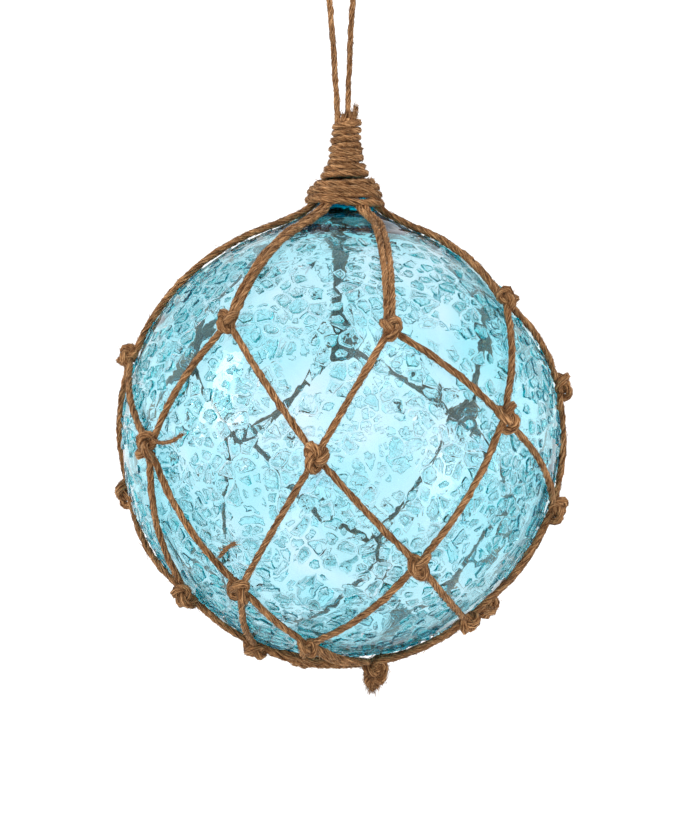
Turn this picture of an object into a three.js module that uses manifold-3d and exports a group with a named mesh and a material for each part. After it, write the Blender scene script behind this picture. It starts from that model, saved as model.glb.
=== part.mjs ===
// A blown glass float ball, held in a knotted net of jute twine and hung by a twine loop.
// Millimetres, +Z up. The origin is where a hook or nail bears, under the top of the loop.
import * as THREE from 'three';
import { mergeVertices } from 'three/addons/utils/BufferGeometryUtils.js';
import Module from 'manifold-3d';

const wasm = await Module();
wasm.setup();

// Driving dimensions
const BALL_RADIUS = 90;
const HANG_HEIGHT = 190; // from the ball's centre up to where the hook bears
const NECK_LEAN = 1.1; // degrees, the neck's lean towards +X
const TWINE_DIAMETER = 3.0; // net and binding
const LOOP_DIAMETER = 2.6; // the hanging loop's thinner twine
const GAP = 0.3; // between neighbouring pieces
const CORD_LIFT = 0.45; // from the glass to a cord, so that straight steps clear the curve
const NET_SIDES = 6;
const LOOP_SIDES = 8;

const twineRadius = TWINE_DIAMETER / 2;
const cordHeight = BALL_RADIUS + CORD_LIFT + twineRadius;

// The net's knots, in four rows from the top. Each is an azimuth and a latitude in degrees,
// seen from the ball's centre: azimuth 0 faces -Y, and 90 faces +X. Rows 2 and 4 lie between
// a cord and the next one round, so each of their knots ties two cords together.
const KNOT_ROWS = [
  [[-84, 20.6], [-33, 29.4], [13.6, 27.2], [63.3, 36.5], [121, 36], [180, 26], [229, 20]],
  [[-55, -2.4], [-5.8, -4.3], [44.3, 5.1], [92, 13.2], [144, 6.2], [208, -1], [260, -14.5]],
  [[-67, -43], [-33.6, -39.7], [22.8, -32.1], [81, -18.1], [124, -20], [170, -32], [228, -44]],
  [[-79, -67.5], [-18.6, -63.9], [66.7, -53.2], [99, -49], [148, -58], [200, -64], [242, -79]],
];
const CORD_COUNT = KNOT_ROWS[0].length;

// Half sizes of a knot in each row: across the net, out from the glass, and along the cords.
const KNOT_HALF_SIZES = [[4.6, 3.5, 4.7], [5.2, 3.7, 6.0], [4.9, 3.7, 5.8], [4.5, 3.6, 4.9]];

// Where each cord comes out from under the binding, as an azimuth round the neck.
const CORD_STARTS = [-82, -33, 28, 84, 130, 188, 235];

// A cord's centre over the glass shoulder: radius from the neck's axis, height over the centre.
const SHOULDER_ROUTE = [[17.0, 93.1], [21.5, 90.8], [27.5, 88.0]];
const TWIN_SPACING = TWINE_DIAMETER + 0.2; // the two twines of a doubled cord, side by side

// The bottom knot, where all the cords meet
const BOTTOM_DIRECTION = [75, -82];
const BOTTOM_RING = 7.8; // radius of the ring on which the cords arrive
const BOTTOM_ARRIVALS = [-78, -32, 62, 105, 155, 202, 244]; // degrees round that ring
const GATHERED_RADIUS = 1.9; // a doubled cord near the bottom knot, as one rod

const degrees = THREE.MathUtils.degToRad;

function direction([azimuth, latitude]) {
  const across = Math.cos(degrees(latitude));
  return new THREE.Vector3(
    across * Math.sin(degrees(azimuth)),
    -across * Math.cos(degrees(azimuth)),
    Math.sin(degrees(latitude)),
  );
}

// The shortest way over the ball between two directions, at a share t of its length.
function between(from, to, t) {
  const angle = from.angleTo(to);
  return from.clone().multiplyScalar(Math.sin((1 - t) * angle) / Math.sin(angle))
    .addScaledVector(to, Math.sin(t * angle) / Math.sin(angle));
}

// A rod along a curve, closed at both ends.
function rod(points, radius, steps, sides = NET_SIDES) {
  const section = new THREE.Shape();
  for (let side = 0; side < sides; side += 1) {
    const turn = (2 * Math.PI * side) / sides;
    const corner = [radius * Math.cos(turn), radius * Math.sin(turn)];
    if (side === 0) section.moveTo(...corner);
    else section.lineTo(...corner);
  }
  section.closePath();
  const path = new THREE.CatmullRomCurve3(points);
  return new THREE.ExtrudeGeometry(section, { steps, extrudePath: path, bevelEnabled: false });
}

function toManifold(geometry) {
  const bare = geometry.clone();
  bare.deleteAttribute('normal');
  bare.deleteAttribute('uv');
  const merged = mergeVertices(bare, 1e-4);
  return new wasm.Manifold(new wasm.Mesh({
    numProp: 3,
    vertProperties: new Float32Array(merged.attributes.position.array),
    triVerts: new Uint32Array(merged.index.array),
  }));
}

function joined(geometries) {
  const solid = geometries.map(toManifold).reduce((whole, piece) => whole.add(piece));
  const mesh = solid.getMesh();
  const geometry = new THREE.BufferGeometry();
  geometry.setAttribute('position', new THREE.BufferAttribute(mesh.vertProperties, 3));
  geometry.setIndex(new THREE.BufferAttribute(mesh.triVerts, 1));
  geometry.computeVertexNormals();
  return geometry;
}

// The glass, turned about its neck's axis from the bottom pole to the top of the neck.
function glassBall() {
  const profile = [];
  const arcSteps = 12;
  const shoulderAngle = 19; // degrees from the neck's axis, where the glass leaves the sphere
  for (let step = 0; step <= arcSteps; step += 1) {
    const angle = degrees(180 - ((180 - shoulderAngle) * step) / arcSteps);
    profile.push(new THREE.Vector2(BALL_RADIUS * Math.sin(angle), BALL_RADIUS * Math.cos(angle)));
  }
  profile[0].x = 0;
  const neck = [[22.5, 88.2], [18.0, 90.2], [14.4, 92.2], [12.0, 94.6], [10.3, 97.5],
    [9.5, 101.0], [8.6, 103.6], [6.0, 105.2], [0, 105.8]];
  neck.forEach(([radius, height]) => profile.push(new THREE.Vector2(radius, height)));
  const segments = 22;
  return new THREE.LatheGeometry(profile, segments).rotateX(Math.PI / 2);
}

// The binding's outline before its turns are drawn: radius at a height over the ball's centre.
const BINDING_OUTLINE = [[94.9, 16.6], [99, 15.4], [104, 13.4], [107.5, 10.4], [112, 8.2],
  [118, 6.5], [130, 6.2]];
const BINDING_TOP = 133.2;

function bindingRadius(height) {
  const next = BINDING_OUTLINE.findIndex(([above]) => above >= height);
  if (next < 1) return BINDING_OUTLINE[next === 0 ? 0 : BINDING_OUTLINE.length - 1][1];
  const [lowHeight, lowRadius] = BINDING_OUTLINE[next - 1];
  const [highHeight, highRadius] = BINDING_OUTLINE[next];
  const share = (height - lowHeight) / (highHeight - lowHeight);
  return lowRadius + share * (highRadius - lowRadius);
}

// Twine turns one above another, hollow below, where the glass neck goes up inside it.
function neckBinding() {
  const bottom = BINDING_OUTLINE[0][0];
  const last = BINDING_OUTLINE[BINDING_OUTLINE.length - 1][0];
  const turns = 12;
  const pitch = (last - bottom) / turns;
  const ridge = 0.45; // how far a turn stands out from the groove beside it
  const profile = [new THREE.Vector2(13.6, bottom)];
  for (let turn = 0; turn < turns; turn += 1) {
    const grooveHeight = bottom + turn * pitch;
    const crestHeight = grooveHeight + pitch / 2;
    profile.push(new THREE.Vector2(bindingRadius(grooveHeight) - ridge, grooveHeight));
    profile.push(new THREE.Vector2(bindingRadius(crestHeight) + ridge, crestHeight));
  }
  profile.push(new THREE.Vector2(5.4, last));
  profile.push(new THREE.Vector2(4.4, BINDING_TOP));
  profile.push(new THREE.Vector2(0, BINDING_TOP));
  profile.push(new THREE.Vector2(0, 107.2));
  profile.push(new THREE.Vector2(8.4, 106.0));
  profile.push(new THREE.Vector2(11.4, 99.0));
  profile.push(profile[0].clone());
  const segments = 12;
  return new THREE.LatheGeometry(profile, segments).rotateX(Math.PI / 2);
}

// A knot lies on the glass as a squat lump, its long side along the cords.
function knot(place, [across, out, along]) {
  const facing = direction(place);
  const sideways = new THREE.Vector3(0, 0, 1).cross(facing).normalize();
  const upwards = facing.clone().cross(sideways);
  const turned = new THREE.Matrix4().makeBasis(sideways, upwards, facing);
  turned.setPosition(facing.clone().multiplyScalar(BALL_RADIUS + CORD_LIFT + out));
  return new THREE.SphereGeometry(1, 6, 4).scale(across, along, out).applyMatrix4(turned);
}

// One twine over the glass between two knots. With shortBy, it stops that far from the second
// knot's centre, so that it stays clear of a knot that belongs to the next cord.
function leg(from, to, shortBy = 0) {
  const start = direction(from);
  const end = direction(to);
  const share = 1 - shortBy / (start.angleTo(end) * cordHeight);
  const steps = 4;
  const points = [];
  for (let step = 0; step <= steps; step += 1) {
    points.push(between(start, end, (share * step) / steps).multiplyScalar(cordHeight));
  }
  return rod(points, twineRadius, steps);
}

// The doubled cord from the binding to its first knot: two twines that close on each other.
function shoulderTwins(startAzimuth, firstKnot) {
  const lean = new THREE.Quaternion().setFromAxisAngle(
    new THREE.Vector3(0, 1, 0),
    degrees(NECK_LEAN),
  );
  const outward = direction([startAzimuth, 0]);
  const centre = SHOULDER_ROUTE.map(([radius, height]) => outward.clone()
    .multiplyScalar(radius).setZ(height).applyQuaternion(lean));
  const shoulderEnd = centre[centre.length - 1].clone().normalize();
  const end = direction(firstKnot);
  const ballSteps = 3;
  for (let step = 1; step <= ballSteps; step += 1) {
    centre.push(between(shoulderEnd, end, step / ballSteps).multiplyScalar(cordHeight));
  }
  return [-1, 1].map((side) => {
    const points = centre.map((point, index) => {
      const ahead = centre[Math.min(index + 1, centre.length - 1)];
      const behind = centre[Math.max(index - 1, 0)];
      const sideways = ahead.clone().sub(behind).cross(point).normalize();
      return point.clone().addScaledVector(sideways, (side * TWIN_SPACING) / 2);
    });
    return rod(points, twineRadius, centre.length - 1);
  });
}

const bottomFacing = direction(BOTTOM_DIRECTION);
const bottomSide = new THREE.Vector3(0, 1, 0).cross(bottomFacing).normalize();
const bottomFront = bottomSide.clone().cross(bottomFacing).normalize();

// Where a cord reaches the bottom knot: a place on a ring round it, close under the glass.
function bottomArrival(index) {
  const turn = degrees(BOTTOM_ARRIVALS[index]);
  return bottomFacing.clone().multiplyScalar(cordHeight + GATHERED_RADIUS - twineRadius)
    .addScaledVector(bottomSide, -BOTTOM_RING * Math.sin(turn))
    .addScaledVector(bottomFront, BOTTOM_RING * Math.cos(turn));
}

function gatheredCord(lastKnot, index) {
  const arrival = bottomArrival(index);
  const start = direction(lastKnot);
  const end = arrival.clone().normalize();
  const steps = 3;
  const points = [];
  for (let step = 0; step < steps; step += 1) {
    const height = cordHeight + GATHERED_RADIUS - twineRadius;
    points.push(between(start, end, step / steps).multiplyScalar(height));
  }
  points.push(arrival);
  return rod(points, GATHERED_RADIUS, steps);
}

// Two twines, knotted together four times on the way down, with a zigzag of legs between.
function netCord(index) {
  const before = (index + CORD_COUNT - 1) % CORD_COUNT;
  const after = (index + 1) % CORD_COUNT;
  const [first, second, third, fourth] = KNOT_ROWS;
  const clear = (row) => KNOT_HALF_SIZES[row][2] + GAP;
  return joined([
    ...shoulderTwins(CORD_STARTS[index], first[index]),
    ...KNOT_ROWS.map((row, level) => knot(row[index], KNOT_HALF_SIZES[level])),
    leg(first[index], second[index]),
    leg(first[index], second[before], clear(1)),
    leg(second[index], third[index]),
    leg(second[index], third[after], clear(2)),
    leg(third[index], fourth[index]),
    leg(third[index], fourth[before], clear(3)),
    gatheredCord(fourth[index], index),
  ]);
}

// A round lump hanging under the ball, with its cut ends trimmed off below.
function bottomKnot() {
  const top = cordHeight - twineRadius + GAP;
  const reach = BOTTOM_RING - GATHERED_RADIUS - GAP;
  const profile = [[0, top], [reach * 0.7, top], [reach, top + 2.5], [reach * 0.98, top + 5],
    [5.6, top + 8], [4.6, top + 11.5], [3.2, top + 13.6], [0, top + 14.4]]
    .map(([radius, height]) => new THREE.Vector2(radius, height));
  const segments = 12;
  const turned = new THREE.Matrix4().makeBasis(bottomSide, bottomFront.negate(), bottomFacing);
  return new THREE.LatheGeometry(profile, segments).rotateX(Math.PI / 2).applyMatrix4(turned);
}

// The loop's centre line, as X and height over the ball's centre: up from the binding, over
// the hook in a round bend, and back down beside itself.
const LOOP_UP = [[-1.5, 133.6], [-1.7, 139], [-2.0, 145], [-2.4, 151], [-2.8, 158], [-3.3, 165],
  [-3.9, 172], [-4.6, 178.5]];
const LOOP_DOWN = [[4.9, 178.5], [4.5, 172], [4.1, 165], [3.8, 158], [3.5, 151], [3.3, 145],
  [3.1, 139], [3.0, 133.6]];
const LOOP_BEND = 5.6;

function hangingLoop() {
  const bend = [];
  const bendSteps = 6;
  const bendCentre = HANG_HEIGHT + LOOP_DIAMETER / 2 - LOOP_BEND;
  for (let step = 0; step <= bendSteps; step += 1) {
    const turn = Math.PI * (1 - step / bendSteps);
    bend.push([LOOP_BEND * Math.cos(turn), bendCentre + LOOP_BEND * Math.sin(turn)]);
  }
  const route = [...LOOP_UP, ...bend, ...LOOP_DOWN]
    .map(([x, height]) => new THREE.Vector3(x, 0, height));
  const steps = 24;
  return rod(route, LOOP_DIAMETER / 2, steps, LOOP_SIDES);
}

const glass = { color: 0x8fdbe6, roughness: 0.05, metalness: 0 };
const jute = { color: 0xa5734a, roughness: 0.9, metalness: 0 };

function named(name, geometry, look) {
  const mesh = new THREE.Mesh(geometry, new THREE.MeshStandardMaterial(look));
  mesh.name = name;
  return mesh;
}

const part = new THREE.Group();
const aroundBall = new THREE.Group();
aroundBall.position.z = -HANG_HEIGHT;
part.add(aroundBall);

const neckAxis = new THREE.Group();
neckAxis.rotation.y = degrees(NECK_LEAN);
aroundBall.add(neckAxis);
neckAxis.add(named('glass_ball', glassBall(), glass));
neckAxis.add(named('neck_binding', neckBinding(), jute));

for (let index = 0; index < CORD_COUNT; index += 1) {
  aroundBall.add(named(`net_cord_${index + 1}`, netCord(index), jute));
}
aroundBall.add(named('bottom_knot', bottomKnot(), jute));
aroundBall.add(named('hanging_loop', hangingLoop(), jute));

export default part;
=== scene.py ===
"""A blown glass float ball in a knotted net of jute twine, hung by a twine loop."""
import math

import bmesh
import bpy
import numpy as np
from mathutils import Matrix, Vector


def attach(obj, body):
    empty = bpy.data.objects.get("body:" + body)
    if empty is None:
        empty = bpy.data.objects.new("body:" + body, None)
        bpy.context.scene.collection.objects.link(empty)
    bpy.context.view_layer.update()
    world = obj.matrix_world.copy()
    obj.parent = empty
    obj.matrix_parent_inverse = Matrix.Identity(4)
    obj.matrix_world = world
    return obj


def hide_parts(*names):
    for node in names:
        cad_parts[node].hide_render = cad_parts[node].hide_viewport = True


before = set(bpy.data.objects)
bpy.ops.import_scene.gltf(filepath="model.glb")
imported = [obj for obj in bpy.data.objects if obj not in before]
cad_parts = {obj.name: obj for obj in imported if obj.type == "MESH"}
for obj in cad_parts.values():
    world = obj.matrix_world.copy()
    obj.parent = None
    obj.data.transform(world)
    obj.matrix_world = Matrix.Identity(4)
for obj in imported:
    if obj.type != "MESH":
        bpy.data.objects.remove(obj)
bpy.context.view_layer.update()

# ---------------------------------------------------------------- driving dimensions
# Millimetres over the ball's centre. A place on the ball is an azimuth and a latitude in
# degrees: azimuth 0 faces the front, -Y, and 90 faces +X.
MM = 0.001
BALL_RADIUS = 90.0
HANG_HEIGHT = 190.0  # under the top of the loop, where a hook or nail bears
NECK_LEAN = math.radians(1.1)
TWINE = 3.0
LOOP_TWINE = 2.6
KNOT_TWINE = 3.7  # as thick as it looks where it is tied and crossed
CORD_LIFT = 0.45
ON_GLASS = BALL_RADIUS + CORD_LIFT + TWINE / 2
DOWN = np.array((0, 0, -1.0))

# The net's knots, in four rows from the top. Rows 2 and 4 lie between a cord and the next one
# round, so each of their knots ties two cords together.
KNOT_ROWS = [
    [(-84, 20.6), (-33, 29.4), (13.6, 27.2), (63.3, 36.5), (121, 36), (180, 26), (229, 20)],
    [(-55, -2.4), (-5.8, -4.3), (44.3, 5.1), (92, 13.2), (144, 6.2), (208, -1), (260, -14.5)],
    [(-67, -43), (-33.6, -39.7), (22.8, -32.1), (81, -18.1), (124, -20), (170, -32), (228, -44)],
    [(-79, -67.5), (-18.6, -63.9), (66.7, -53.2), (99, -49), (148, -58), (200, -64), (242, -79)],
]
CORD_COUNT = len(KNOT_ROWS[0])

# Half sizes of a knot in each row: across the net, out from the glass, and along the cords.
KNOT_HALF_SIZES = [(4.6, 3.5, 4.7), (5.2, 3.7, 6.0), (4.9, 3.7, 5.8), (4.5, 3.6, 4.9)]

# Where each cord comes out from under the binding, as an azimuth round the neck.
CORD_STARTS = [-82, -33, 28, 84, 130, 188, 235]

# A cord's centre over the glass shoulder: radius from the neck's axis, and height.
SHOULDER_ROUTE = [(17.0, 93.1), (21.5, 90.8), (27.5, 88.0)]

BOTTOM_DIRECTION = (75, -82)
BOTTOM_ARRIVALS = [-78, -32, 62, 105, 155, 202, 244]  # degrees round the bottom knot
SLACK_CORDS = (0, 6)  # hang a little off the glass underneath

# Cut ends left on the net: the cord, the places that the end lies over, and its thickness.
FRAYED_TAILS = [(0, [(-54, -0.9), (-46.4, -1.0), (-40.8, 1.0)], 1.7),
                (0, [(-36.5, -30.2), (-31.4, -26.8), (-28.6, -25.7)], 1.7),
                (4, [(143, 6.5), (149, 9.5), (153, 14)], 1.6),
                (2, [(67, -53), (72, -49), (78, -48)], 1.6)]

# The hanging loop's centre line, as X and height: up from the binding, over the hook in a
# round bend, and back down beside itself.
LOOP_UP = [(-1.5, 133.6), (-1.7, 139), (-2.0, 145), (-2.4, 151), (-2.8, 158), (-3.3, 165),
           (-3.9, 172), (-4.6, 178.5)]
LOOP_DOWN = [(4.9, 178.5), (4.5, 172), (4.1, 165), (3.8, 158), (3.5, 151), (3.3, 145),
             (3.1, 139), (3.0, 133.6)]
LOOP_BEND = 5.6
LOOP_FEET = [(-0.9, 127.5), (2.4, 127.5)]  # tucked down into the binding


def to_frame(points):
    return (np.asarray(points, float) - (0, 0, HANG_HEIGHT)) * MM


# ---------------------------------------------------------------- camera and stage
CAMERA_DISTANCE = 15 * BALL_RADIUS
CAMERA_SIDE = 1.8  # the ball hangs a little left of the view's middle
CAMERA_RISE = 9.5  # and a little below it
LENS = 142.5

# The studio's brightness, from straight down, 0, to straight up, 1.
SKY = [(0.0, 0.45), (0.24, 0.5), (0.36, 1.0), (0.64, 1.0), (0.76, 0.65), (1.0, 0.7)]
SKY_STRENGTH = 1.25
FLOOR_RADIUS = 5.8
FLOOR_HEIGHT = -1.2
FLOOR_GREY = 0.9
BOUNCES = 32  # enough for light to find its way out through the chips


def set_inputs(node, values):
    """Sets a shader node's inputs by their names."""
    for name, value in values.items():
        node.inputs[name].default_value = value


def set_ramp(node, stops):
    """Gives a colour ramp its stops, as positions and colours."""
    elements = node.color_ramp.elements
    for element, (position, colour) in zip(elements, (stops[0], stops[-1])):
        element.position = position
        element.color = (*colour, 1)
    for position, colour in stops[1:-1]:
        elements.new(position).color = (*colour, 1)


def make_camera():
    data = bpy.data.cameras.new("camera")
    data.lens = LENS
    data.sensor_width = 36.0
    data.clip_end = 100.0
    camera = bpy.data.objects.new("camera", data)
    camera.location = to_frame((CAMERA_SIDE, -CAMERA_DISTANCE, CAMERA_RISE))
    camera.rotation_euler = (math.radians(90), 0, 0)
    bpy.context.collection.objects.link(camera)
    bpy.context.scene.camera = camera


def make_world():
    world = bpy.data.worlds.new("studio")
    world.use_nodes = True
    bpy.context.scene.world = world
    nodes, links = world.node_tree.nodes, world.node_tree.links
    background = nodes["Background"]
    background.inputs["Strength"].default_value = SKY_STRENGTH
    where = nodes.new("ShaderNodeTexCoord")
    split = nodes.new("ShaderNodeSeparateXYZ")
    links.new(where.outputs["Generated"], split.inputs[0])
    scale = nodes.new("ShaderNodeMapRange")
    set_inputs(scale, {"From Min": -1, "From Max": 1})
    links.new(split.outputs["Z"], scale.inputs["Value"])
    ramp = nodes.new("ShaderNodeValToRGB")
    set_ramp(ramp, [(position, (grey, grey, grey)) for position, grey in SKY])
    links.new(scale.outputs["Result"], ramp.inputs["Fac"])
    links.new(ramp.outputs["Color"], background.inputs["Color"])


def make_light(name, place, size, power):
    data = bpy.data.lights.new(name, "AREA")
    data.shape = "RECTANGLE"
    data.size, data.size_y = size
    data.energy = power
    light = bpy.data.objects.new(name, data)
    light.location = place
    towards = Vector(to_frame((0, 0, 0))) - Vector(place)
    light.rotation_euler = towards.to_track_quat("-Z", "Y").to_euler()
    bpy.context.collection.objects.link(light)


def make_floor():
    paint = bpy.data.materials.new("floor_paint")
    paint.use_nodes = True
    set_inputs(paint.node_tree.nodes["Principled BSDF"], {
        "Base Color": (FLOOR_GREY, FLOOR_GREY, FLOOR_GREY, 1),
        "Roughness": 0.9})
    bpy.ops.mesh.primitive_circle_add(vertices=96, radius=FLOOR_RADIUS, fill_type="NGON",
                                      location=(0, 0, FLOOR_HEIGHT))
    floor = bpy.context.object
    floor.name = "floor"
    floor.data.materials.append(paint)


make_camera()
make_world()
make_floor()
make_light("key", place=(-1.39, -0.55, 0.37), size=(0.35, 0.9), power=6)
make_light("fill", place=(0.7, -1.4, 1.1), size=(1.2, 1.2), power=5)
bpy.context.scene.view_settings.view_transform = "Standard"
bpy.context.scene.cycles.use_denoising = True
bpy.context.scene.cycles.max_bounces = BOUNCES
bpy.context.scene.cycles.transmission_bounces = BOUNCES
bpy.context.scene.cycles.glossy_bounces = BOUNCES


# ---------------------------------------------------------------- geometry helpers
def unit(vectors):
    vectors = np.asarray(vectors, float)
    return vectors / np.linalg.norm(vectors, axis=-1, keepdims=True)


def direction(azimuth, latitude):
    azimuth, latitude = math.radians(azimuth), math.radians(latitude)
    across = math.cos(latitude)
    return np.array((across * math.sin(azimuth), -across * math.cos(azimuth),
                     math.sin(latitude)))


def great_circle(start, end, shares):
    """Unit vectors on the shortest way over the ball from start to end."""
    angle = math.acos(float(np.clip(start @ end, -1, 1)))
    shares = np.asarray(shares, float)[:, None]
    return (np.sin((1 - shares) * angle) * start + np.sin(shares * angle) * end) / math.sin(angle)


def evenly(points, spacing):
    """The same line with its points evenly spaced."""
    points = np.asarray(points, float)
    run = np.r_[0, np.cumsum(np.linalg.norm(np.diff(points, axis=0), axis=1))]
    count = max(2, int(round(run[-1] / spacing)) + 1)
    at = np.linspace(0, run[-1], count)
    return np.stack([np.interp(at, run, points[:, k]) for k in range(3)], axis=1)


def smooth(points, spacing):
    """A Catmull-Rom line through the points, evenly spaced."""
    points = np.asarray(points, float)
    ends = np.vstack([2 * points[0] - points[1], points, 2 * points[-1] - points[-2]])
    line = []
    for a, b, c, d in zip(ends, ends[1:], ends[2:], ends[3:]):
        t = np.linspace(0, 1, 12, endpoint=False)[:, None]
        line.append(0.5 * (2 * b + (c - a) * t + (2 * a - 5 * b + 4 * c - d) * t ** 2
                           + (3 * b - a - 3 * c + d) * t ** 3))
    line.append(points[-1:])
    return evenly(np.vstack(line), spacing)


def carried_frames(line):
    """At each point, two sideways directions that don't twist along the line."""
    tangents = unit(np.gradient(line, axis=0))
    side = np.cross(tangents[0], (0.3, 0.5, 0.8))
    sides = np.empty_like(line)
    for index, tangent in enumerate(tangents):
        side = unit(side - (side @ tangent) * tangent)
        sides[index] = side
    return sides, np.cross(tangents, sides)


class Mesh:
    """Gathers closed tubes and fibres, then makes one Blender object of them."""

    def __init__(self):
        self.points = []
        self.faces = []
        self.grain = []  # where each point lies in its material's own pattern
        self.skin = []  # each strand's centres, radii and directions, for its fibres
        self.count = 0

    def add(self, points, faces, grain):
        self.points.append(points)
        self.faces.append(np.asarray(faces) + self.count)
        self.grain.append(grain)
        self.count += len(points)

    def tube(self, rings, grain):
        """A closed tube through rings of points, of shape (steps, sides, 3)."""
        steps, sides, _ = rings.shape
        at = np.arange(steps * sides).reshape(steps, sides)
        a, b = at[:-1], at[1:]
        c, d = np.roll(b, -1, axis=1), np.roll(a, -1, axis=1)
        quads = np.stack([a, d, c, b], axis=-1).reshape(-1, 4)
        faces = [quads[:, [0, 1, 2]], quads[:, [0, 2, 3]]]
        fan = np.arange(1, sides - 1)
        faces.append(np.stack([np.zeros_like(fan), fan + 1, fan], axis=1))
        last = (steps - 1) * sides
        faces.append(np.stack([np.zeros_like(fan), fan, fan + 1], axis=1) + last)
        self.add(rings.reshape(-1, 3), np.vstack(faces), grain.reshape(-1, 3))

    def make_object(self, name, material):
        data = bpy.data.meshes.new(name)
        points = to_frame(np.vstack(self.points))
        faces = np.vstack(self.faces)
        data.vertices.add(len(points))
        data.vertices.foreach_set("co", points.ravel())
        data.loops.add(faces.size)
        data.loops.foreach_set("vertex_index", faces.ravel().astype(np.int32))
        data.polygons.add(len(faces))
        data.polygons.foreach_set("loop_start", np.arange(0, faces.size, 3, dtype=np.int32))
        data.update(calc_edges=True)
        data.shade_smooth()
        grain = data.attributes.new("grain", "FLOAT_VECTOR", "POINT")
        grain.data.foreach_set("vector", np.vstack(self.grain).astype(np.float32).ravel())
        data.materials.append(material)
        made = bpy.data.objects.new(name, data)
        bpy.context.collection.objects.link(made)
        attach(made, "root")
        return made


# ---------------------------------------------------------------- twine
STRANDS = 5
STRAND_SIDES = 5
STEP = 1.5  # between rings along a twine
LAY = 21.0  # length in which a strand goes once round
STRAND_OFFSET = 0.245  # from the twine's centre, as a share of its diameter
STRAND_RADII = (0.19, 0.26)  # the same share, from the thinnest strand to the thickest
END_TAPER = 0.45
FIBRE_RINGS = 4
FIBRE_WIDTHS = (0.07, 0.15)
HAIR_WIDTHS = (0.06, 0.11)
rng = np.random.default_rng(7)


def wander(run, shortest, longest, size):
    """A smooth random change along a line."""
    value = np.zeros_like(run)
    for _ in range(3):
        value = value + np.sin(2 * math.pi * run / rng.uniform(shortest, longest)
                               + rng.uniform(0, 2 * math.pi))
    return size * value / 1.7


def lay_twine(mesh, line, diameter=TWINE, fuzz=1.0, loose=1.0):
    """Uneven strands of jute wound round a centre line."""
    line = evenly(line, STEP)
    sides, ups = carried_frames(line)
    run = np.arange(len(line)) * STEP
    start = rng.uniform(0, 2 * math.pi)
    lay = LAY * diameter / TWINE * rng.uniform(0.85, 1.15)
    around = np.linspace(0, 2 * math.pi, STRAND_SIDES, endpoint=False)
    cos, sin = np.cos(around)[None, :, None], np.sin(around)[None, :, None]
    for strand in range(STRANDS):
        turn = (start + 2 * math.pi * (run / lay + strand / STRANDS)
                + wander(run, 9, 30, 0.28 * loose))
        outward = np.cos(turn)[:, None] * sides + np.sin(turn)[:, None] * ups
        off = diameter * (STRAND_OFFSET + wander(run, 5, 22, 0.03 * loose))
        centre = line + outward * off[:, None]
        along = unit(np.gradient(centre, axis=0))
        out = unit(outward - (outward * along).sum(1, keepdims=True) * along)
        aside = np.cross(along, out)
        thick = diameter * (rng.uniform(*STRAND_RADII) + wander(run, 4, 14, 0.018))
        spokes = thick[:, None, None] * (cos * out[:, None] + sin * aside[:, None])
        spokes[[0, -1]] *= END_TAPER
        grain = np.empty_like(spokes)
        grain[..., 0] = np.cos(around) + rng.uniform(0, 50)
        grain[..., 1] = np.sin(around) + rng.uniform(0, 50)
        grain[..., 2] = run[:, None]
        mesh.tube(centre[:, None] + spokes, grain)
        mesh.skin.append((centre, thick, out, aside, along, fuzz))


def fibre_ring(centres, width, first, second):
    """The three corners round each fibre at its centre."""
    return [centres + width * (math.cos(angle) * first + math.sin(angle) * second)
            for angle in np.linspace(0, 2 * math.pi, 3, endpoint=False)]


def fibre_faces(rings, pointed):
    """The triangles of a three-sided fibre through its rings, with a flat or pointed end."""
    faces = [(0, 2, 1)]
    last = 3 * (rings - 1)
    for foot in range(0, last, 3):
        for corner in range(3):
            after = (corner + 1) % 3
            faces.append((foot + corner, foot + after, foot + 3 + after))
            faces.append((foot + corner, foot + 3 + after, foot + 3 + corner))
    if pointed:
        faces += [(last + corner, last + (corner + 1) % 3, last + 3) for corner in range(3)]
    else:
        faces.append((last, last + 1, last + 2))
    return np.array(faces)


def add_fibres(mesh, corners, faces, along):
    """Adds fibres to the mesh, each with a grain of its own."""
    points = np.stack(corners, axis=1)
    count, size, _ = points.shape
    grain = np.stack([rng.uniform(60, 110, count), rng.uniform(60, 110, count), along], axis=1)
    faces = np.arange(count)[:, None, None] * size + faces
    mesh.add(points.reshape(-1, 3), faces.reshape(-1, 3), np.repeat(grain, size, axis=0))


def lay_fibres(mesh, per_mm, longest=9.0):
    """Fibres that lie along the twine's surface and lift a little at their ends."""
    faces = fibre_faces(FIBRE_RINGS, pointed=False)
    shares = np.linspace(0, 1, FIBRE_RINGS)
    reach = int(longest / STEP)
    for centre, thick, out, aside, _, _ in mesh.skin:
        steps = len(centre)
        count = rng.poisson(steps * STEP * per_mm / STRANDS)
        if not count or steps < reach + 2:
            continue
        span = rng.integers(3, reach + 1, count)
        first = rng.integers(0, steps - reach, count)
        turn = rng.uniform(-1.3, 1.3, count)
        slide = rng.uniform(-0.16, 0.16, count)
        foot_lift, end_lift = rng.exponential(0.2, (count, 2)).T
        width = rng.uniform(*FIBRE_WIDTHS, count)
        ways = []
        for share in shares:
            at = np.minimum(first + (span * share).astype(int), steps - 1)
            angle = (turn + slide * span * share)[:, None]
            normal = np.cos(angle) * out[at] + np.sin(angle) * aside[at]
            rise = (thick[at] * 1.05 + 0.02
                    + foot_lift * max(0, 1 - 3 * share) + end_lift * max(0, 3 * share - 2))
            ways.append(centre[at] + normal * rise[:, None])
        whole = unit(ways[-1] - ways[0] + 1e-9)
        side = unit(np.cross(whole, (0.31, 0.87, 0.43)))
        up = np.cross(whole, side)
        corners = []
        for way, share in zip(ways, shares):
            thin = width * (0.25 + 0.75 * math.sin(math.pi * (0.08 + 0.84 * share)))
            corners += fibre_ring(way, thin[:, None], side, up)
        add_fibres(mesh, corners, faces, first * STEP)


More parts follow.
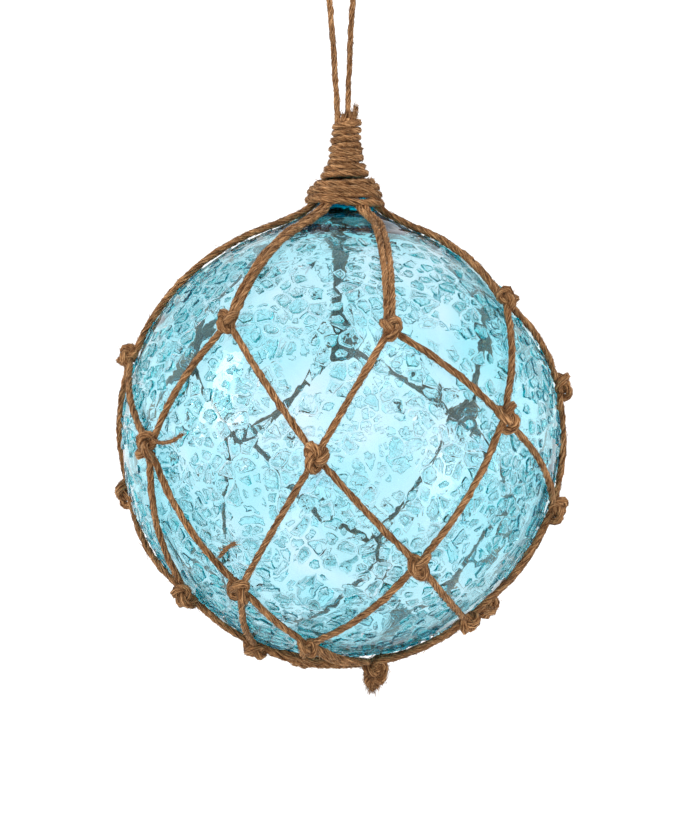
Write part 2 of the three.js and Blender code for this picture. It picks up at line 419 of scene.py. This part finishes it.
def grow_fibres(mesh, per_mm, length=1.7, longest=5.0):
    """Loose fibres: thin tapered hairs that leave the twine at a slant and curl."""
    faces = fibre_faces(2, pointed=True)
    for centre, thick, out, aside, along, fuzz in mesh.skin:
        steps = len(centre)
        count = rng.poisson(steps * STEP * per_mm * fuzz / STRANDS)
        if not count:
            continue
        at = rng.integers(0, steps, count)
        turn = rng.uniform(-1.7, 1.7, count)[:, None]
        normal = np.cos(turn) * out[at] + np.sin(turn) * aside[at]
        root = centre[at] + normal * thick[at][:, None] * 0.8
        slant = along[at] * rng.choice((-1, 1), count)[:, None]
        way = unit(normal * rng.uniform(0.1, 0.75, count)[:, None] + slant
                   + rng.normal(0, 0.22, (count, 3)))
        reach = np.minimum(length * rng.lognormal(-0.25, 0.6, count), longest)[:, None]
        bend = rng.normal(0, 0.3, (count, 3))
        middle = root + way * reach * 0.5 + bend * reach * 0.16
        tip = root + way * reach * 0.95 - bend * reach * 0.3
        first = unit(np.cross(way, (0.2, 0.9, 0.4)))
        second = np.cross(way, first)
        width = rng.uniform(*HAIR_WIDTHS, count)[:, None]
        corners = fibre_ring(root, width, first, second)
        corners += fibre_ring(middle, width * 0.8, first, second)
        add_fibres(mesh, [*corners, tip], faces, at)


# ---------------------------------------------------------------- materials
JUTE_COLOURS = [(0.41, (0.055, 0.018, 0.005)), (0.5, (0.31, 0.135, 0.047)),
                (0.61, (0.72, 0.41, 0.19))]
JUTE_STRETCH = (2.0, 2.0, 0.28)  # the pattern is drawn out along the fibres
GLASS_TINT = (0.98, 0.925, 0.975, 1)  # at each surface that light goes through
GLASS_COLOUR = (0.0, 0.87, 0.90, 1)  # what the thickness of the glass lets through
GLASS_DENSITY = 350.0
FINE_RELIEF = 0.2 * MM


def new_material(name):
    """A material's nodes and links, with the material itself."""
    material = bpy.data.materials.new(name)
    material.use_nodes = True
    return material, material.node_tree.nodes, material.node_tree.links


def jute_material():
    material, nodes, links = new_material("jute")
    shader = nodes["Principled BSDF"]
    set_inputs(shader, {"Roughness": 0.85, "Specular IOR Level": 0.25, "Sheen Weight": 0.25,
                        "Sheen Roughness": 0.4, "Sheen Tint": (1.0, 0.8, 0.55, 1)})
    grain = nodes.new("ShaderNodeAttribute")
    grain.attribute_name = "grain"
    stretch = nodes.new("ShaderNodeMapping")
    set_inputs(stretch, {"Scale": JUTE_STRETCH})
    links.new(grain.outputs["Vector"], stretch.inputs["Vector"])
    fibres = nodes.new("ShaderNodeTexNoise")
    set_inputs(fibres, {"Scale": 1.0, "Detail": 5.0, "Roughness": 0.7})
    links.new(stretch.outputs["Vector"], fibres.inputs["Vector"])
    colour = nodes.new("ShaderNodeValToRGB")
    set_ramp(colour, JUTE_COLOURS)
    links.new(fibres.outputs["Fac"], colour.inputs["Fac"])

    where = nodes.new("ShaderNodeTexCoord")
    blotch = nodes.new("ShaderNodeTexNoise")
    set_inputs(blotch, {"Scale": 90.0, "Detail": 2.0})
    links.new(where.outputs["Object"], blotch.inputs["Vector"])
    tone = nodes.new("ShaderNodeMapRange")
    set_inputs(tone, {"From Min": 0.3, "From Max": 0.7, "To Min": 0.78, "To Max": 1.2})
    links.new(blotch.outputs["Fac"], tone.inputs["Value"])
    toned = nodes.new("ShaderNodeVectorMath")
    toned.operation = "SCALE"
    links.new(colour.outputs["Color"], toned.inputs[0])
    links.new(tone.outputs["Result"], toned.inputs["Scale"])
    links.new(toned.outputs["Vector"], shader.inputs["Base Color"])

    bump = nodes.new("ShaderNodeBump")
    set_inputs(bump, {"Strength": 0.6, "Distance": FINE_RELIEF})
    links.new(fibres.outputs["Fac"], bump.inputs["Height"])
    links.new(bump.outputs["Normal"], shader.inputs["Normal"])
    return material


def glass_material():
    """Clear, tinted glass, with fine creases on the chips only."""
    material, nodes, links = new_material("aqua_glass")
    shader = nodes["Principled BSDF"]
    set_inputs(shader, {"Base Color": GLASS_TINT, "Roughness": 0.0, "IOR": 1.5,
                        "Transmission Weight": 1.0})
    absorb = nodes.new("ShaderNodeVolumeAbsorption")
    set_inputs(absorb, {"Color": GLASS_COLOUR, "Density": GLASS_DENSITY})
    links.new(absorb.outputs["Volume"], nodes["Material Output"].inputs["Volume"])

    where = nodes.new("ShaderNodeTexCoord")
    folds = nodes.new("ShaderNodeTexNoise")
    set_inputs(folds, {"Scale": 270.0, "Detail": 1.5, "Distortion": 0.9})
    links.new(where.outputs["Object"], folds.inputs["Vector"])
    centred = nodes.new("ShaderNodeMath")
    centred.operation = "SUBTRACT"
    centred.inputs[1].default_value = 0.5
    links.new(folds.outputs["Fac"], centred.inputs[0])
    size = nodes.new("ShaderNodeMath")
    size.operation = "ABSOLUTE"
    links.new(centred.outputs["Value"], size.inputs[0])
    crease = nodes.new("ShaderNodeMapRange")
    crease.interpolation_type = "SMOOTHSTEP"
    set_inputs(crease, {"From Min": 0.0, "From Max": 0.03, "To Min": 1.0, "To Max": 0.0})
    links.new(size.outputs["Value"], crease.inputs["Value"])

    chips = nodes.new("ShaderNodeAttribute")
    chips.attribute_name = "grain"
    split = nodes.new("ShaderNodeSeparateXYZ")
    links.new(chips.outputs["Vector"], split.inputs[0])
    masked = nodes.new("ShaderNodeMath")
    masked.operation = "MULTIPLY"
    links.new(crease.outputs["Result"], masked.inputs[0])
    links.new(split.outputs["X"], masked.inputs[1])
    bump = nodes.new("ShaderNodeBump")
    set_inputs(bump, {"Strength": 1.0, "Distance": FINE_RELIEF})
    links.new(masked.outputs["Value"], bump.inputs["Height"])
    links.new(bump.outputs["Normal"], shader.inputs["Normal"])
    return material


jute = jute_material()


# ---------------------------------------------------------------- the hanging loop
def loop_line():
    centre = HANG_HEIGHT + LOOP_TWINE / 2 - LOOP_BEND
    bend = [(LOOP_BEND * math.cos(turn), centre + LOOP_BEND * math.sin(turn))
            for turn in np.linspace(math.pi, 0, 7)]
    route = [LOOP_FEET[0], *LOOP_UP, *bend, *LOOP_DOWN, LOOP_FEET[1]]
    return np.array([(x, 0, height) for x, height in route], float)


def make_loop():
    mesh = Mesh()
    line = smooth(loop_line(), 1.0)
    lay_twine(mesh, line, LOOP_TWINE)
    lay_fibres(mesh, 1.5, longest=7.0)
    grow_fibres(mesh, 3.0, length=1.2, longest=1.7)
    made = mesh.make_object("hanging_loop_twine", jute)
    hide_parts("hanging_loop")


make_loop()


# ---------------------------------------------------------------- the net
TWIN_SPREAD = (1.45, 1.15)  # half the way between a cord's two twines, at its top and its knot
GATHERED_SPREAD = 1.3
LEG_RISE = 1.2  # a twine climbs into a knot, over this length and a few times more
LEG_RISE_LENGTH = 5.0
KNOT_STEPS = 90


def lean(points):
    """Tilts points from the upright to the neck's own slight lean."""
    cos, sin = math.cos(NECK_LEAN), math.sin(NECK_LEAN)
    turn = np.array(((cos, 0, -sin), (0, 1, 0), (sin, 0, cos)))
    return np.asarray(points, float) @ turn


def overhand(start, laps, turn, hand):
    """An overhand knot's path: across, along and deep, each between -1 and 1."""
    t = np.linspace(start, 2 * math.pi * laps, KNOT_STEPS)
    x = (np.sin(t) + 2 * np.sin(2 * t)) / 3
    y = (np.cos(t) - 2 * np.cos(2 * t)) / 3
    across = x * math.cos(turn) - y * math.sin(turn)
    along = x * math.sin(turn) + y * math.cos(turn)
    return across, along, -np.sin(3 * t) * hand


def knot_line(place, half, turn, hand):
    """A tight overhand knot's turns, pressed on the glass, as one line that ends tucked in."""
    across, out_half, along_half = half
    out = direction(*place)
    along = unit(DOWN - (DOWN @ out) * out)
    side = np.cross(along, out)
    x, y, z = overhand(0.05, 1.02, turn, hand)
    centre = BALL_RADIUS + CORD_LIFT + out_half
    lift = centre + z * (out_half - TWINE / 2) - 1.2 * np.hypot(x, y) ** 2 + 0.5
    lift = np.maximum(lift, BALL_RADIUS + TWINE / 2 - 0.2)
    return (out * lift[:, None] + side * (x * (across - TWINE / 2 + 0.35))[:, None]
            + along * (y * (along_half - TWINE / 2 + 1.0))[:, None])


def leg_line(start, end):
    """A twine over the glass between two knots' middles. It rises into each of them."""
    shares = np.linspace(0, 1, 60)
    ways = great_circle(direction(*start), direction(*end), shares)
    run = shares * math.acos(float(ways[0] @ ways[-1])) * ON_GLASS
    rise = LEG_RISE * (np.exp(-(run / LEG_RISE_LENGTH) ** 2)
                       + np.exp(-((run[-1] - run) / LEG_RISE_LENGTH) ** 2))
    return ways * (ON_GLASS - CORD_LIFT + rise)[:, None]


def shoulder_lines(start_azimuth, first):
    """A cord's two twines, from under the binding to its first knot."""
    outward = direction(start_azimuth, 0)
    route = [(12.6, 97.0), *SHOULDER_ROUTE]
    centre = list(lean([outward * radius + (0, 0, height) for radius, height in route]))
    start = unit(centre[-1])
    centre += list(great_circle(start, direction(*first), np.linspace(0, 1, 7)[1:]) * ON_GLASS)
    line = smooth(np.array(centre), 1.0)
    sideways = unit(np.cross(np.gradient(line, axis=0), line))
    spread = np.linspace(*TWIN_SPREAD, len(line))[:, None]
    line = line * (1 - 0.5 / ON_GLASS)
    return [line - sideways * spread, line + sideways * spread]


def bottom_axes():
    """The bottom knot's outward direction, and two across it."""
    facing = direction(*BOTTOM_DIRECTION)
    side = unit(np.cross((0, 1, 0), facing))
    return facing, side, unit(np.cross(side, facing))


def gathered_lines(last, index):
    """A cord's two twines, from its last knot to the bottom knot."""
    facing, side, front = bottom_axes()
    turn = math.radians(BOTTOM_ARRIVALS[index])
    round_knot = front * math.cos(turn) - side * math.sin(turn)
    arrival = facing * (ON_GLASS + 1.2) + round_knot * 3.0
    shares = np.linspace(0, 1, 30)
    ways = great_circle(direction(*last), unit(arrival), shares)
    line = ways * np.linspace(ON_GLASS, np.linalg.norm(arrival), len(shares))[:, None]
    aside = unit(np.cross(np.gradient(line, axis=0), line)) * GATHERED_SPREAD
    slack = np.sin(math.pi * shares)[:, None] * unit(line)
    hang = 2.4 if index in SLACK_CORDS else 0.5
    return [line - aside + slack * rng.uniform(0, 0.3 * hang),
            line + aside + slack * rng.uniform(0.5 * hang, hang)]


def tail_line(places, rise=2.2):
    """A cut end that lies out over the glass and lifts off it."""
    ways = np.array([direction(*place) for place in places])
    height = ON_GLASS + np.linspace(0.4, rise, len(places))
    return smooth(ways * height[:, None], 1.0)


def make_cord(index):
    mesh = Mesh()
    before, after = (index - 1) % CORD_COUNT, (index + 1) % CORD_COUNT
    first, second, third, fourth = KNOT_ROWS
    for line in shoulder_lines(CORD_STARTS[index], first[index]):
        lay_twine(mesh, line)
    legs = [(first[index], second[index]), (first[index], second[before]),
            (second[index], third[index]), (second[index], third[after]),
            (third[index], fourth[index]), (third[index], fourth[before])]
    for start, end in legs:
        lay_twine(mesh, leg_line(start, end))
    for line in gathered_lines(fourth[index], index):
        lay_twine(mesh, line, fuzz=2.5, loose=1.6)
    for row, half in zip(KNOT_ROWS, KNOT_HALF_SIZES):
        line = knot_line(row[index], half, turn=rng.uniform(0, 6.3), hand=rng.choice((-1, 1)))
        lay_twine(mesh, line, KNOT_TWINE, fuzz=2.2)
    for owner, places, thickness in FRAYED_TAILS:
        if owner == index:
            lay_twine(mesh, tail_line(places), thickness, fuzz=5.0, loose=1.8)
    lay_fibres(mesh, 1.4)
    grow_fibres(mesh, 2.3)
    made = mesh.make_object(f"net_cord_{index + 1}_twine", jute)
    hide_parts(f"net_cord_{index + 1}")


for number in range(CORD_COUNT):
    make_cord(number)


# ---------------------------------------------------------------- the binding
BINDING_OUTLINE = [(94.9, 16.6), (99, 15.4), (104, 13.4), (107.5, 10.4), (112, 8.2),
                   (118, 6.5), (130, 6.2)]  # heights, and radii over the twine
BINDING_HEIGHTS = (96.0, 130.4)
BINDING_PITCH = 2.93
BINDING_TURNS = 34.0 / BINDING_PITCH
TURN_LENGTH = 25.0  # of twine in one turn, about, for how fast a turn wanders
TURN_STEPS = 40

# Turns wound over the first layer: heights, count, distance over that layer, and slope.
LOOSE_WRAPS = [((96.4, 97.2), 1.2, 0.9, 0.03),
               ((98.5, 101.0), 1.3, 0.9, 0.10),
               ((101.0, 104.0), 1.4, 0.7, 0.16),
               ((116.0, 121.5), 1.7, 0.8, 0.22)]
CORE_HEIGHTS = (107.2, 131.0)  # the gathered ends inside the binding, over the glass neck
CORE_DEPTH = 2.3  # under the binding's outline
CUT_ENDS = 13
WISPS = [0.0, 0.7, -0.6]  # how far each leans


def binding_radius(heights):
    outline_heights, radii = np.array(BINDING_OUTLINE).T
    return np.interp(heights, outline_heights, radii)


def wrap_line(heights, turns, extra, tilt, start):
    """Turns wound round the neck between two heights, each tilted its own way."""
    share = np.linspace(0, 1, int(turns * TURN_STEPS))
    angle = start + 2 * math.pi * turns * share
    height = heights[0] + share * (heights[1] - heights[0])
    radius = binding_radius(height) - TWINE / 2 + extra
    run = share * turns * TURN_LENGTH
    tucked = np.clip(np.minimum(share, 1 - share) * turns / 0.2, 0, 1)
    radius = radius + wander(run, 18, 60, 0.22) - 1.6 * (1 - tucked)
    slope = tilt + wander(run, 40, 120, 0.05)
    swing = rng.uniform(0, 6.3) + wander(run, 80, 200, 0.8)
    height = height + slope * radius * np.cos(angle - swing) + wander(run, 14, 50, 0.16)
    return np.stack([radius * np.sin(angle), -radius * np.cos(angle), height], axis=1)


def core_rings():
    levels = np.linspace(*CORE_HEIGHTS, 12)[:, None]
    turn = np.linspace(0, 2 * math.pi, 14, endpoint=False)
    radius = binding_radius(levels) - CORE_DEPTH
    heights = np.broadcast_to(levels, (len(levels), len(turn)))
    return np.stack([radius * np.cos(turn), radius * np.sin(turn), heights], axis=-1)


def make_binding():
    mesh = Mesh()
    first_layer = wrap_line(BINDING_HEIGHTS, BINDING_TURNS, 0.1, 0.03, start=0.0)
    lay_twine(mesh, lean(first_layer), loose=0.8)
    for heights, count, extra, tilt in LOOSE_WRAPS:
        lay_twine(mesh, lean(wrap_line(heights, count, extra, tilt, rng.uniform(0, 6.3))))
    rings = core_rings()
    mesh.tube(lean(rings), rings * 0.3)
    for _ in range(CUT_ENDS):
        out = direction(rng.uniform(0, 360), 0)
        reach = rng.uniform(0.8, 4.2)
        top = rng.uniform(131.8, 134.4)
        stub = [out * reach + (0, 0, 121), out * reach + (0, 0, 128),
                out * (reach + rng.uniform(-0.6, 0.5)) + (0, 0, top)]
        lay_twine(mesh, lean(smooth(stub, 1.0)), 2.5, fuzz=2.0)
    for tilt in WISPS:
        wisp = [(2.6, -2.5, 126), (3.3 + tilt, -3.0, 132), (3.6 + tilt, -3.2, 136)]
        lay_twine(mesh, lean(smooth(wisp, 1.0)), 0.8, fuzz=4.0)
    lay_fibres(mesh, 1.8)
    grow_fibres(mesh, 3.0, length=1.5)
    made = mesh.make_object("neck_binding_twine", jute)
    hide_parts("neck_binding")


make_binding()


# ---------------------------------------------------------------- the bottom knot
# Two overhand knots, one on the other: size, height over the glass, turn and hand.
BOTTOM_LUMPS = [(1.0, 4.2, 0.5, 1), (0.86, 7.4, 2.4, -1)]
LUMP_HALF = (4.5, 4.3, 2.3)  # across, along and deep
BOTTOM_STUBS = 12


def make_bottom_knot():
    mesh = Mesh()
    facing, side, front = bottom_axes()
    across, along, deep = LUMP_HALF
    for size, height, turn, hand in BOTTOM_LUMPS:
        x, y, z = overhand(0.0, 1.04, turn, hand)
        line = (facing * (ON_GLASS + height + deep * z)[:, None]
                + side * (across * size * x - 0.6)[:, None]
                + front * (along * size * y)[:, None])
        lay_twine(mesh, line, 3.5, fuzz=2.5)
    for _ in range(BOTTOM_STUBS):
        turn = rng.uniform(0, 2 * math.pi)
        place = side * math.cos(turn) + front * math.sin(turn)
        spread = rng.uniform(0.4, 3.0)
        tip = rng.uniform(10.5, 13.5)
        stub = [facing * (ON_GLASS + 3) + place, facing * (ON_GLASS + 7) + place * spread,
                facing * (ON_GLASS + tip) + place * (spread + 0.6)]
        lay_twine(mesh, smooth(stub, 1.0), 2.2, fuzz=3.5)
    lay_fibres(mesh, 2.0)
    grow_fibres(mesh, 5.0, length=2.2)
    made = mesh.make_object("bottom_knot_twine", jute)
    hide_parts("bottom_knot")


make_bottom_knot()


# ---------------------------------------------------------------- the glass
# Profiles up the neck and the cavity under it: radius from the neck's axis, and height.
NECK_PROFILE = [(29.1, 84.55), (22.5, 88.2), (18.0, 90.2), (14.4, 92.2), (12.0, 94.6),
                (10.3, 97.5), (9.5, 101.0), (8.6, 103.6), (6.0, 105.2), (0, 105.8)]
CAVITY_PROFILE = [(28.35, 82.35), (21.5, 85.7), (17.1, 87.7), (14.5, 88.9), (12.0, 89.5),
                  (6.0, 89.6), (0, 89.6)]
GLASS_FLOOR = BALL_RADIUS - 0.35  # the blown surface between the chips
WALL = 1.0
CHIP_SPACING = 6.25
NECK_SPACING = 3.6
NECK_ZONE = math.radians(20)  # finer cells, for the neck's shape
SMOOTH_CAP = math.radians(17)  # round the neck there are no chips
CHIP_SHARE = 0.72  # of the cells that carry a chip
CHIP_SIZES = (0.42, 0.93)  # shares of the cell
CHIP_RISES = (0.2, 0.75)
RIM_WIDTHS = (0.2, 0.42)
LIPPED_SHARE = 0.6  # of the chips that have a raised rim round a hollow
LIP_WIDTHS = (0.28, 0.55)
LIP_DROPS = (0.14, 0.34)
HIGHEST_CHIP = 0.95
SHALLOWER = ((17, 34, 50), (0.12, 0.3, 1.0))  # degrees from the neck, and share of the rise
SWELL = 1.1
CAVITY_DETAIL = 24


def geodesic_sphere(frequency):
    """Unit directions and triangles of an icosahedron with each edge cut in frequency parts."""
    golden = (1 + math.sqrt(5)) / 2
    corners = unit(np.array([(-1, golden, 0), (1, golden, 0), (-1, -golden, 0), (1, -golden, 0),
                             (0, -1, golden), (0, 1, golden), (0, -1, -golden), (0, 1, -golden),
                             (golden, 0, -1), (golden, 0, 1), (-golden, 0, -1), (-golden, 0, 1)]))
    sides = [(0, 11, 5), (0, 5, 1), (0, 1, 7), (0, 7, 10), (0, 10, 11), (1, 5, 9), (5, 11, 4),
             (11, 10, 2), (10, 7, 6), (7, 1, 8), (3, 9, 4), (3, 4, 2), (3, 2, 6), (3, 6, 8),
             (3, 8, 9), (4, 9, 5), (2, 4, 11), (6, 2, 10), (8, 6, 7), (9, 8, 1)]
    steps = [(i, j) for i in range(frequency + 1) for j in range(frequency + 1 - i)]
    number = {step: k for k, step in enumerate(steps)}
    cells = []
    for i in range(frequency):
        for j in range(frequency - i):
            cells.append((number[i, j], number[i + 1, j], number[i, j + 1]))
            if j < frequency - i - 1:
                cells.append((number[i + 1, j], number[i + 1, j + 1], number[i, j + 1]))
    cells = np.array(cells)
    i, j = np.array(steps).T[:, :, None] / frequency
    points = []
    faces = []
    for k, (a, b, c) in enumerate(sides):
        points.append((1 - i - j) * corners[a] + i * corners[b] + j * corners[c])
        faces.append(cells + k * len(steps))
    points = unit(np.vstack(points))
    keys = np.round(points * 1e6).astype(np.int64)
    _, first, back = np.unique(keys, axis=0, return_index=True, return_inverse=True)
    return points[first], back.ravel()[np.vstack(faces)]


def with_neck(directions, profile, radius):
    """Places the sphere's points at radius, and those near its top on the profile."""
    profile = np.array(profile, float)
    run = np.r_[0, np.cumsum(np.linalg.norm(np.diff(profile, axis=0), axis=1))]
    edge = math.atan2(profile[0, 0], profile[0, 1])
    polar = np.arccos(np.clip(directions[:, 2], -1, 1))
    out = unit(directions[:, :2] + 1e-12)
    points = directions * radius
    cap = polar < edge
    at = (1 - polar[cap] / edge) * run[-1]
    points[cap, :2] = out[cap] * np.interp(at, run, profile[:, 0])[:, None]
    points[cap, 2] = np.interp(at, run, profile[:, 1])
    return points


def sunflower(spacing, jitter, random):
    """Directions spread evenly over the ball, each moved a little at random."""
    count = int(round(4 * math.pi * (BALL_RADIUS / spacing) ** 2))
    k = np.arange(count) + 0.5
    height = 1 - 2 * k / count
    turn = k * math.pi * (3 - math.sqrt(5))
    across = np.sqrt(1 - height ** 2)
    points = np.stack([across * np.cos(turn), across * np.sin(turn), height], axis=1)
    return unit(points + random.normal(0, jitter * spacing / BALL_RADIUS, points.shape))


def hull_triangles(points):
    """The triangles of the convex hull of points on the sphere, seen from outside."""
    hull = bmesh.new()
    for point in points:
        hull.verts.new(point)
    hull.verts.index_update()
    bmesh.ops.convex_hull(hull, input=hull.verts)
    triangles = np.array([[corner.index for corner in face.verts] for face in hull.faces])
    hull.free()
    a, b, c = points[triangles].transpose(1, 0, 2)
    flipped = (np.cross(b - a, c - a) * (a + b + c)).sum(1) < 0
    triangles[flipped] = triangles[flipped][:, ::-1]
    return triangles


def waviness(ways):
    """Slow swells of the blown surface, in millimetres."""
    swell = np.zeros(ways.shape[:-1])
    random = np.random.default_rng(5)
    for _ in range(14):
        way = unit(random.normal(size=3)) * random.uniform(8, 34)
        swell = swell + np.sin(ways @ way + random.uniform(0, 6.3)) / np.linalg.norm(way)
    return SWELL * swell


class ChippedShell:
    """The blown outer surface with crushed glass fused over it, one chip to a cell."""

    def __init__(self):
        self.random = np.random.default_rng(33)
        self.ways = []
        self.heights = []
        self.ring = []  # 1 to 3 from a chip's foot inwards, and 0 elsewhere
        self.chip = []  # the number of the chip that a point is part of
        self.on_chip = []
        self.faces = []

    def vertex(self, way, height, ring=0, chip=-1, on_chip=0.0):
        self.ways.append(way)
        self.heights.append(height)
        self.ring.append(ring)
        self.chip.append(chip)
        self.on_chip.append(on_chip)
        return len(self.ways) - 1

    def strip(self, outer, inner):
        for k in range(len(outer)):
            after = (k + 1) % len(outer)
            self.faces.append((outer[k], outer[after], inner[after]))
            self.faces.append((outer[k], inner[after], inner[k]))

    def fan(self, ring, middle):
        for k in range(len(ring)):
            self.faces.append((ring[k], ring[(k + 1) % len(ring)], middle))

    def cell_borders(self, seeds):
        """For each seed, the corners round its cell, shared with the cells beside it."""
        triangles = hull_triangles(seeds)
        a, b, c = seeds[triangles].transpose(1, 0, 2)
        centres = unit(np.cross(b - a, c - a))
        corners = [self.vertex(way, 0.0) for way in centres]
        around = [[] for _ in seeds]
        for number, triangle in enumerate(triangles):
            for seed in triangle:
                around[seed].append(number)
        halfway = {}
        borders = []
        for seed, numbers in zip(seeds, around):
            if not numbers:
                borders.append([])
                continue
            first = unit(np.cross(seed, (0.31, 0.52, 0.79)))
            second = np.cross(seed, first)
            spokes = centres[numbers] - seed
            order = np.argsort(np.arctan2(spokes @ second, spokes @ first))
            numbers = [numbers[k] for k in order]
            border = []
            for here, there in zip(numbers, numbers[1:] + numbers[:1]):
                key = (min(here, there), max(here, there))
                if key not in halfway:
                    halfway[key] = self.border_points(centres[key[0]], centres[key[1]])
                middle = halfway[key]
                border.append(corners[here])
                border.extend(middle if here == key[0] else middle[::-1])
            borders.append(border)
        return borders

    def border_points(self, start, end):
        span = float(np.linalg.norm(end - start)) * BALL_RADIUS
        parts = 1 if span < 1.8 else 2 if span < 4.2 else 3
        made = []
        for k in range(1, parts):
            way = start + (end - start) * k / parts
            way = way + self.random.normal(0, 0.05 * span / BALL_RADIUS, 3)
            made.append(self.vertex(unit(way), 0.0))
        return made

    def add_cell(self, number, border, polar):
        """Closes one cell, with a chip on most of them."""
        random = self.random
        ways = np.array([self.ways[k] for k in border])
        middle = unit(ways.mean(0))
        share = CHIP_SHARE + 0.2 * float(np.sin(middle @ (7.1, 3.3, 9.2) + 1.0)
                                        + np.sin(middle @ (-5.2, 8.8, 4.1)))
        if polar < SMOOTH_CAP or random.random() > share:
            self.fan(border, self.vertex(middle, 0.0))
            return
        spokes = ways - middle
        reach = np.linalg.norm(spokes, axis=1)
        spokes = spokes / reach[:, None]
        reach = reach * BALL_RADIUS
        size = random.uniform(*CHIP_SIZES)
        edge = np.minimum(reach * size, 1.15 * size * np.median(reach))
        edge = np.minimum(edge * (1 + random.normal(0, 0.07, len(edge))), reach - 0.12)
        rim = random.uniform(*RIM_WIDTHS)
        rise = random.uniform(*CHIP_RISES) * min(1.0, float(np.median(edge)) / 2.0)
        rise *= float(np.interp(math.degrees(polar), *SHALLOWER))
        top = np.maximum(edge - rim, 0.45 * edge)
        if random.random() < LIPPED_SHARE:
            inner = np.maximum(top - random.uniform(*LIP_WIDTHS), 0.5 * top)
            inner_height = rise - random.uniform(*LIP_DROPS)
        else:
            inner = top * random.uniform(0.5, 0.72)
            inner_height = rise + random.uniform(-0.2, 0.2)
        slant = random.normal(0, 0.11, 3)
        levels = [(edge, 0.0, 1e-9), (top, rise, 0.16 * rise), (inner, inner_height, 0.07)]
        outer = border
        for level, (radii, height, spread) in enumerate(levels):
            around = unit(middle + spokes * (radii / BALL_RADIUS)[:, None])
            tilt = (around - middle) @ slant * BALL_RADIUS * (level > 0)
            heights = height + tilt + random.normal(0, spread, len(around))
            heights = np.clip(heights, 0.0, HIGHEST_CHIP)
            ring = [self.vertex(way, rising, level + 1, number, float(level > 0))
                    for way, rising in zip(around, heights)]
            self.strip(outer, ring)
            outer = ring
        middle_height = inner_height + random.normal(0, 0.1)
        self.fan(outer, self.vertex(middle, middle_height, 0, number, 1.0))


def make_glass():
    shell = ChippedShell()
    chips = sunflower(CHIP_SPACING, 0.42, shell.random)
    neck = sunflower(NECK_SPACING, 0.1, shell.random)
    limit = math.cos(NECK_ZONE)
    seeds = np.vstack([chips[chips[:, 2] < limit], neck[neck[:, 2] > limit + 0.008]])
    polar = np.arccos(seeds[:, 2])
    for number, border in enumerate(shell.cell_borders(seeds)):
        if border:
            shell.add_cell(number, border, polar[number])
    ways = np.array(shell.ways)
    from_top = np.arccos(np.clip(ways[:, 2], -1, 1))
    swell = waviness(ways) * np.clip((from_top - 0.2) / 0.3, 0, 1)
    points = with_neck(ways, NECK_PROFILE, GLASS_FLOOR)
    points = points + ways * (np.array(shell.heights) + swell)[:, None]
    chip_mask = np.zeros_like(points)
    chip_mask[:, 0] = shell.on_chip
    inner, inner_faces = geodesic_sphere(CAVITY_DETAIL)
    hollow = with_neck(inner, CAVITY_PROFILE, GLASS_FLOOR - WALL)
    hollow = hollow + inner * (0.5 * waviness(inner[:, ::-1]))[:, None]
    mesh = Mesh()
    mesh.add(lean(points), np.array(shell.faces), chip_mask)
    mesh.add(lean(hollow), inner_faces[:, ::-1], np.zeros_like(hollow))
    made = mesh.make_object("glass_float", glass_material())
    crisp_rims(made.data, np.array(shell.ring), np.array(shell.chip))
    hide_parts("glass_ball")


def crisp_rims(data, ring, chip):
    """Sharp edges round most chips: some at the foot, some at the top, some at the lip."""
    ends = np.empty(len(data.edges) * 2, dtype=np.int32)
    data.edges.foreach_get("vertices", ends)
    first, second = ends.reshape(-1, 2).T
    outer = (first < len(ring)) & (second < len(ring))
    first, second = first * outer, second * outer
    round_chip = outer & (ring[first] == ring[second]) & (chip[first] == chip[second])
    level, number = ring[first], chip[first]
    foot = (level == 1) & (number % 3 > 0)
    top = (level == 2) & (number % 4 > 0)
    lip = (level == 3) & (number % 2 > 0)
    sharp = data.attributes.new("sharp_edge", "BOOLEAN", "EDGE")
    sharp.data.foreach_set("value", round_chip & (foot | top | lip))


make_glass()
